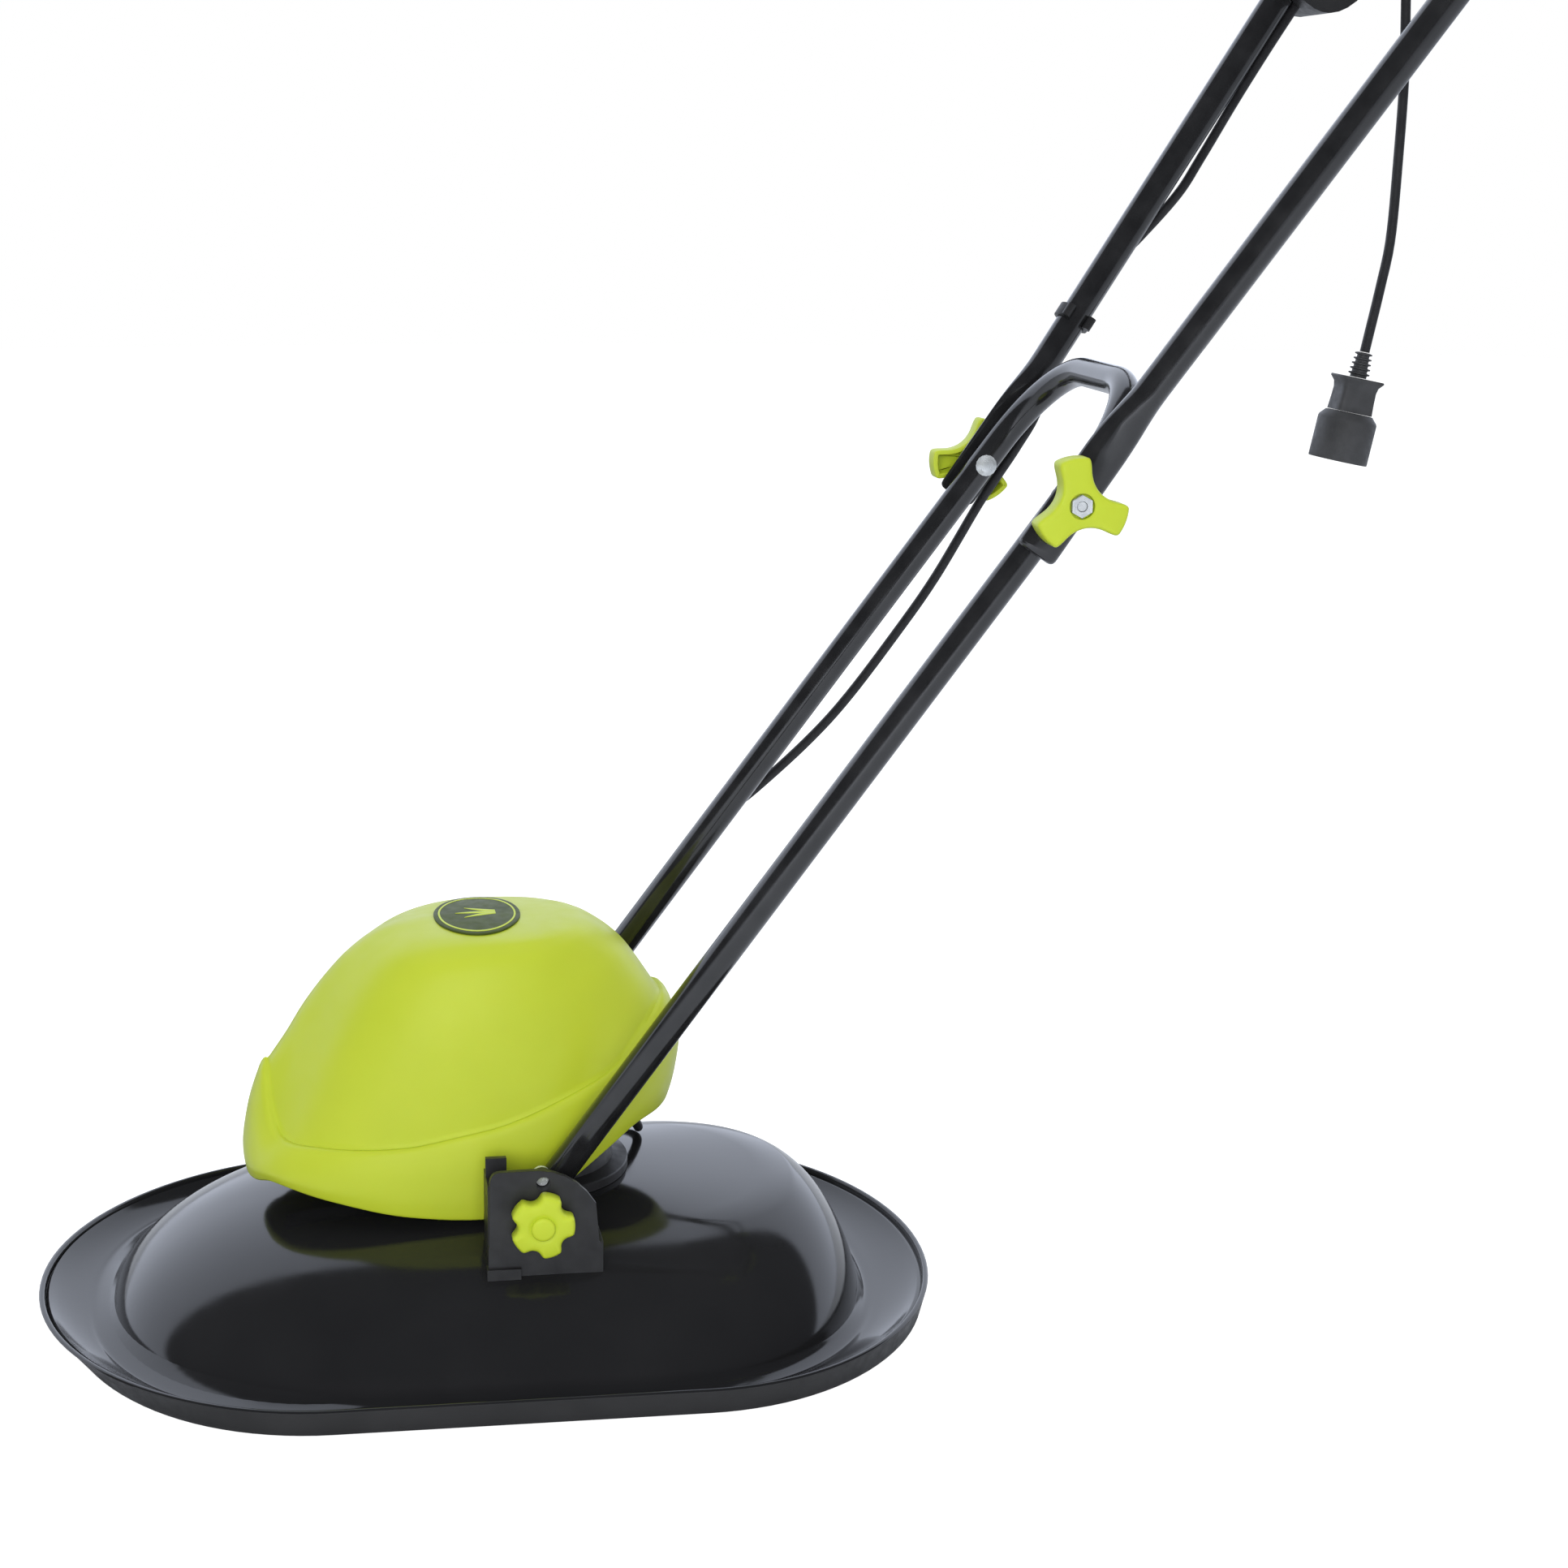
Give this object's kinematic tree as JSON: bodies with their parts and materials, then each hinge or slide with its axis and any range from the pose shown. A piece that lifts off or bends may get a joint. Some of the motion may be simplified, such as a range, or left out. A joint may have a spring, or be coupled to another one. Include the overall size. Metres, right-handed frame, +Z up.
{
  "type": "hover mower",
  "caption": "Electric hover mower with an oval hood, a motor cover with a badge, and a folding two-part tubular handle with a pigtail plug.",
  "frame": {"origin": "on the ground under the middle of the whole mower", "axes": "+Z up; the operator stands at +X and the nose of the hood points to -X; +Y is the mower's right side"},
  "size_m": [1.001, 0.408, 1.0083],
  "materials": {
    "gloss_black": "gloss moulded plastic",
    "satin_black": "satin moulded plastic",
    "black_tube": "gloss black powder coat",
    "lime": "satin lime green moulded plastic",
    "zinc": "bright zinc plate",
    "steel": "plain steel",
    "copper": "enamelled copper wire",
    "cord_rubber": "dull dark grey",
    "badge_green": "printed film under clear lacquer",
    "foam": "closed foam"
  },
  "bodies": {
    "deck": {"hood": "gloss_black", "motor_collar": "satin_black", "lower_bearing": "steel", "stator_can": "steel", "motor_foot_ring": "satin_black", "stator_core": "steel", "lower_field_winding": "copper", "upper_field_winding": "copper", "motor_end_cap": "satin_black", "upper_bearing": "steel", "carbon_brush_left": "satin_black", "carbon_brush_right": "satin_black", "suppressor": "lime", "motor_cover": "lime", "cover_badge": "badge_green", "cover_frame": "satin_black", "bracket_left": "satin_black", "bracket_right": "satin_black", "stop_pin_left": "zinc", "stop_pin_right": "zinc", "pivot_bolt_left": "zinc", "pivot_bolt_right": "zinc", "motor_cable_base": "cord_rubber"},
    "spinning_set": {"armature_shaft": "steel", "armature_core": "copper", "commutator": "copper", "impeller": "lime", "blade_spacer": "satin_black", "blade": "steel", "blade_washer": "zinc", "blade_bolt": "zinc"},
    "pivot_knob_left": {"pivot_knob_left": "lime"},
    "pivot_knob_right": {"pivot_knob_right": "lime"},
    "lower_frame": {"lower_handle": "black_tube", "handle_foot_left": "satin_black", "handle_foot_right": "satin_black", "motor_cable_lower": "cord_rubber"},
    "clamp_knob_left": {"clamp_knob_left": "lime", "clamp_nut_left": "zinc"},
    "clamp_knob_right": {"clamp_knob_right": "lime", "clamp_nut_right": "zinc"},
    "upper_frame": {"upper_handle": "black_tube", "grip": "foam", "switch_box": "satin_black", "switch_box_lid": "satin_black", "microswitch": "satin_black", "motor_cable_upper": "cord_rubber", "cable_clip": "satin_black", "cord_relief": "cord_rubber", "pigtail_cord": "cord_rubber", "plug_relief": "cord_rubber", "plug_body": "cord_rubber", "plug_shroud": "cord_rubber", "plug_insert": "zinc", "clamp_bolt_left": "zinc", "clamp_bolt_right": "zinc"},
    "switch_lever": {"switch_lever": "lime"},
    "lock_button": {"lock_button": "lime"}
  },
  "joints": [
    {"name": "handle_fold", "type": "hinge", "parent": "deck", "child": "lower_frame", "pos_m": [-0.18617, 0, 0.0955], "axis": [0, 1, 0], "range_deg": [0, 30]},
    {"name": "upper_fold", "type": "hinge", "parent": "lower_frame", "child": "upper_frame", "pos_m": [0.14133, 0, 0.5323], "axis": [0, 1, 0], "range_deg": [-150, 0]},
    {"name": "blade_spin", "type": "hinge", "parent": "deck", "child": "spinning_set", "pos_m": [-0.18267, 0, 0.026], "axis": [0, 0, 1], "continuous": true},
    {"name": "pivot_knob_left_turn", "type": "hinge", "parent": "deck", "child": "pivot_knob_left", "pos_m": [-0.18617, -0.133, 0.0955], "axis": [0, 1, 0], "continuous": true},
    {"name": "pivot_knob_right_turn", "type": "hinge", "parent": "deck", "child": "pivot_knob_right", "pos_m": [-0.18617, 0.133, 0.0955], "axis": [0, 1, 0], "continuous": true},
    {"name": "clamp_knob_left_turn", "type": "hinge", "parent": "upper_frame", "child": "clamp_knob_left", "pos_m": [0.14133, -0.123, 0.5323], "axis": [0, 1, 0], "continuous": true},
    {"name": "clamp_knob_right_turn", "type": "hinge", "parent": "upper_frame", "child": "clamp_knob_right", "pos_m": [0.14133, 0.123, 0.5323], "axis": [0, 1, 0], "continuous": true},
    {"name": "switch_lever_squeeze", "type": "hinge", "parent": "upper_frame", "child": "switch_lever", "pos_m": [0.43745, 0.119, 0.90872], "axis": [0, 1, 0], "range_deg": [-14, 0], "stiffness_Nm_per_rad": 0.6, "springref_deg": 11.46},
    {"name": "lock_button_press", "type": "slide", "parent": "upper_frame", "child": "lock_button", "axis": [0, 1, 0], "range_m": [0, 0.004], "stiffness_N_per_m": 150, "springref_m": -0.004}
  ]
}
